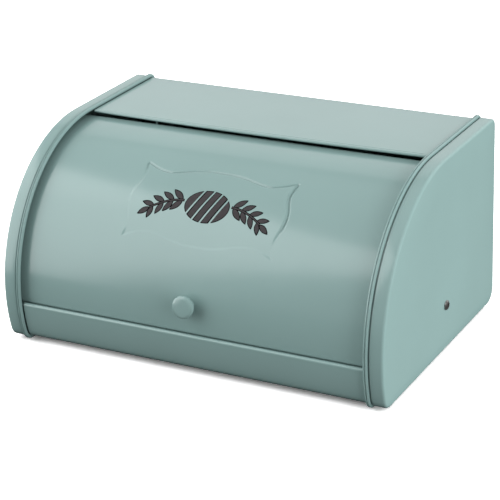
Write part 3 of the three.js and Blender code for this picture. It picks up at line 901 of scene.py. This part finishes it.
class Print:
    """Thin raised shapes on the pressed panel, gathered into one mesh."""

    def __init__(self, name, grow, height, material):
        self.name, self.grow, self.height, self.material = name, grow, height, material
        self.points, self.faces = [], []

    def patch(self, rows):
        """A closed thin patch over a grid of (x, s) points."""
        count, width = len(rows), len(rows[0])
        start = len(self.points)
        for lift in (self.height, -0.1):
            for row in rows:
                for x, s in row:
                    level = LID_RADIUS + press_level(x, PRINT_MIDDLE + s - PRESS_ARC)
                    self.points.append(on_lid(x, PRINT_MIDDLE + s, level + lift))
        below = count * width
        self.faces += grid_faces(count, width, start=start)
        self.faces += grid_faces(count, width, start=start + below)
        border = list(range(width)) + [r * width + width - 1 for r in range(1, count)]
        border += [(count - 1) * width + c for c in range(width - 2, -1, -1)]
        border += [r * width for r in range(count - 2, 0, -1)]
        for i, a in enumerate(border):
            b = border[(i + 1) % len(border)]
            self.faces.append((start + a, start + b, start + below + b, start + below + a))

    def leaf(self, base, direction, length, width, blunt=0.75):
        """A pointed grain from `base` along `direction` degrees."""
        ahead = Vector((math.cos(rad(direction)), math.sin(rad(direction))))
        side = Vector((-ahead.y, ahead.x))
        rows = []
        for i in range(11):
            t = i / 10
            half = width / 2 * max(0.0, math.sin(math.pi * t)) ** blunt * (1.12 - 0.3 * t)
            centre = Vector(base) + ahead * (length * t + self.grow * 1.6 * (2 * t - 1))
            half += self.grow * (0.35 + 0.65 * math.sin(math.pi * t))
            rows.append([tuple(centre + side * half * k / 2) for k in (-2, -1, 0, 1, 2)])
        self.patch(rows)

    def ribbon(self, path, start_width, end_width):
        """A stroke along a path that tapers from one width to another."""
        rows = []
        for i, p in enumerate(path):
            here = Vector(p)
            ahead = (Vector(path[min(i + 1, len(path) - 1)]) - Vector(path[max(i - 1, 0)])).normalized()
            side = Vector((-ahead.y, ahead.x))
            t = i / (len(path) - 1)
            half = (start_width + (end_width - start_width) * t) / 2 + self.grow
            rows.append([tuple(here + side * half * k) for k in (-1, 0, 1)])
        self.patch(rows)

    def build(self):
        piece = make_piece(self.name, self.points, self.faces, sharp=60)
        finish_piece(piece, "lid", "ink")
        piece.data.materials.clear()
        piece.data.materials.append(self.material)


LOAF = (22.5, 16.0)           # half width and half height
LOAF_RISE = 3.0
LOAF_LEAN = 0.45              # slant of the cuts across it
LOAF_CUTS = 5
CUT_WIDTH = 3.5


def draw_loaf(ink):
    """An oval loaf whose slanted cuts are left unprinted."""
    half_w, half_h = (size + ink.grow for size in LOAF)
    reach = math.hypot(half_w, LOAF_LEAN * half_h) * 0.9999
    span = 2 * reach / LOAF_CUTS
    for piece in range(LOAF_CUTS):
        trim = CUT_WIDTH / 2 - ink.grow
        low = -reach + piece * span + (trim if piece else 0)
        high = -reach + (piece + 1) * span - (trim if piece < LOAF_CUTS - 1 else 0)
        rows = []
        for i in range(15):
            share = i / 14
            share = share * share * (3 - 2 * share)
            c = low + (high - low) * share
            a = LOAF_LEAN ** 2 / half_w ** 2 + 1 / half_h ** 2
            b = 2 * c * LOAF_LEAN / half_w ** 2
            root = math.sqrt(max(0.0, b * b - 4 * a * (c * c / half_w ** 2 - 1)))
            s_low, s_high = (-b - root) / (2 * a), (-b + root) / (2 * a)
            row = []
            for k in range(9):
                s = s_low + (s_high - s_low) * k / 8
                row.append((c + LOAF_LEAN * s, s + LOAF_RISE))
            rows.append(row)
        ink.patch(rows)


EAR_GRAINS = 4
GRAIN_TURN = 42               # degrees between a grain and the stem
GRAIN_SPREAD = 1.2            # how far beside the stem's centre line a grain starts


def ear_point(t):
    """Centre line of the right-hand ear, from beside the loaf to its tip."""
    return 25.5 + 37 * t, 6.0 - 2.0 * t - 14.0 * t * t


def draw_ear(ink, side):
    """One wheat ear: a stem, paired grains and an end grain."""
    def flip(p):
        return side * p[0], p[1]

    def heading(degrees):
        return degrees if side > 0 else 180 - degrees

    ink.ribbon([flip(ear_point(-0.02 + 0.9 * i / 12)) for i in range(13)], 1.3, 0.9)
    for i in range(EAR_GRAINS):
        t = 0.05 + 0.25 * i
        (x0, s0), (x1, s1) = ear_point(t), ear_point(t + 0.01)
        slope = math.degrees(math.atan2(s1 - s0, x1 - x0))
        for turn in (GRAIN_TURN, -GRAIN_TURN):
            spread = math.copysign(GRAIN_SPREAD, turn)
            base = flip((x0, s0 + spread))
            ink.leaf(base, heading(slope + turn), 13.0 - 0.8 * i, 5.0 - 0.3 * i)
    (x0, s0), (x1, s1) = ear_point(0.9), ear_point(0.96)
    slope = math.degrees(math.atan2(s1 - s0, x1 - x0))
    ink.leaf(flip((x0, s0)), heading(slope), 11.0, 4.6)


def build_print():
    outline = Print("wheat_print_outline", OUTLINE_GROW, 0.10, OUTLINE_INK)
    fill = Print("wheat_print_fill", 0.0, 0.18, MATERIALS["ink"])
    for ink in (outline, fill):
        draw_loaf(ink)
        draw_ear(ink, 1)
        draw_ear(ink, -1)
        ink.build()


# ---- stage ----
FLOOR_GLOW = 0.04
FLOOR_WHITE = 1.6             # over 1, since the floor hands no light on
FLOOR_HALF = 6000
SHADE_MARGIN = 8.0            # the shaded ground reaches this far round the bin
SHADE_DROP = 0.5              # and lies this far under the floor


def flat_square(name, x0, x1, y0, y1, z):
    return make_piece(name, [(x0, y0, z), (x1, y0, z), (x1, y1, z), (x0, y1, z)], [(0, 1, 2, 3)])


def build_floor():
    """A pale floor that lights nothing and isn't mirrored in the enamel."""
    material, tree, shader = new_material("white_floor", Roughness=0.9)
    vary_colour(tree, shader, add_noise(tree, 4, 2), (FLOOR_WHITE - 0.02,) * 3, (FLOOR_WHITE,) * 3)
    shader.inputs["Emission Color"].default_value = (1, 1, 1, 1)
    shader.inputs["Emission Strength"].default_value = FLOOR_GLOW
    floor = flat_square("floor", -FLOOR_HALF, FLOOR_HALF, -FLOOR_HALF, FLOOR_HALF, 0)
    floor.data.materials.append(material)
    floor.visible_diffuse = False
    floor.visible_glossy = False
    floor.visible_shadow = False


def build_floor_shade():
    """The shaded ground under the bin, as its enamel sees it: hidden from the camera."""
    material, tree, shader = new_material("shaded_floor", Roughness=1.0)
    vary_colour(tree, shader, add_noise(tree, 4, 2), (0.01, 0.01, 0.01), (0.02, 0.02, 0.02))
    half_x = HALF_WIDTH + SHADE_MARGIN
    low_y = PIVOT_Y - RIM_RADIUS - SHADE_MARGIN
    shade = flat_square("floor_shade", -half_x, half_x, low_y, RIM_BACK + SHADE_MARGIN, -SHADE_DROP)
    shade.data.materials.append(material)
    shade.visible_camera = False


# The studio: soft lamps standing round the bin, as a photographer would place them.
# Set with renders compared to the photo.
LAMP_DISTANCE = 2.0            # metres from the bin
AIM_HEIGHT = 0.1               # metres, the height that every lamp faces
SKY = 0.4                      # even light from above the horizon
GROUND = 0.15                  # and from below it
HORIZON_BLUR = 0.02


def softbox(name, azimuth, elevation, width, height, brightness, mirrored_by_gloss=True):
    """A lamp at an azimuth (0 in front, 90 on the right) and elevation in degrees, in metres."""
    turn, lift = rad(azimuth), rad(elevation)
    aim = Vector((0, 0, AIM_HEIGHT))
    way = Vector((math.sin(turn) * math.cos(lift), -math.cos(turn) * math.cos(lift), math.sin(lift)))
    data = bpy.data.lights.new(name, "AREA")
    data.shape = "RECTANGLE"
    data.size = width
    data.size_y = height
    data.energy = brightness * math.pi * width * height
    lamp = bpy.data.objects.new(name, data)
    bpy.context.scene.collection.objects.link(lamp)
    lamp.location = aim + LAMP_DISTANCE * way
    lamp.rotation_euler = (aim - lamp.location).to_track_quat("-Z", "Y").to_euler()
    lamp.visible_camera = False
    lamp.visible_glossy = mirrored_by_gloss


def build_world():
    """Even light from above the horizon, little from below it."""
    world = bpy.data.worlds.new("studio")
    bpy.context.scene.world = world
    world.use_nodes = True
    tree = world.node_tree
    direction = tree.nodes.new("ShaderNodeTexCoord")
    split = tree.nodes.new("ShaderNodeSeparateXYZ")
    height = tree.nodes.new("ShaderNodeMapRange")
    height.inputs["From Min"].default_value = -HORIZON_BLUR
    height.inputs["From Max"].default_value = HORIZON_BLUR
    height.inputs["To Min"].default_value = GROUND
    height.inputs["To Max"].default_value = SKY
    tree.links.new(direction.outputs["Generated"], split.inputs["Vector"])
    tree.links.new(split.outputs["Z"], height.inputs["Value"])
    tree.links.new(height.outputs["Result"], tree.nodes["Background"].inputs["Color"])


def build_lights():
    build_world()
    softbox("key_left", -60, 25, 2.5, 2.5, 3.0)
    softbox("fill_right", 90, 10, 2.5, 2.0, 4.5, mirrored_by_gloss=False)
    softbox("front_right", 45, 45, 1.2, 1.2, 1.0)
    softbox("back", 180, 35, 4.0, 1.5, 0.8)
    softbox("overhead", -90, 75, 2.0, 2.0, 0.5)


CAMERA_PLACE = (0.7980, -1.4754, 0.7806)
CAMERA_AZIMUTH = 28.434
CAMERA_ELEVATION = 22.747
CAMERA_ROLL = 2.224
CAMERA_LENS = 134.3


def build_camera():
    azimuth, elevation, roll = (rad(v) for v in (CAMERA_AZIMUTH, CAMERA_ELEVATION, CAMERA_ROLL))
    ahead = Vector((
        -math.sin(azimuth) * math.cos(elevation), math.cos(azimuth) * math.cos(elevation),
        -math.sin(elevation)))
    right = ahead.cross(Vector((0, 0, 1))).normalized()
    down = ahead.cross(right)
    turned_right = right * math.cos(roll) + down * math.sin(roll)
    turned_down = down * math.cos(roll) - right * math.sin(roll)
    data = bpy.data.cameras.new("camera")
    data.lens = CAMERA_LENS
    data.sensor_width = 36
    data.clip_start = 0.05
    data.clip_end = 50
    camera = bpy.data.objects.new("camera", data)
    bpy.context.scene.collection.objects.link(camera)
    axes = Matrix((turned_right, -turned_down, -ahead)).transposed()
    camera.matrix_world = Matrix.Translation(CAMERA_PLACE) @ axes.to_4x4()
    bpy.context.scene.camera = camera


build_side_caps()
build_top_back()
build_base_apron()
build_lid()
build_knob()
build_lid_arms()
build_pivots()
build_stops()
build_feet()
build_print()
build_floor()
build_floor_shade()
build_lights()
build_camera()
bpy.context.scene.view_settings.view_transform = "Standard"
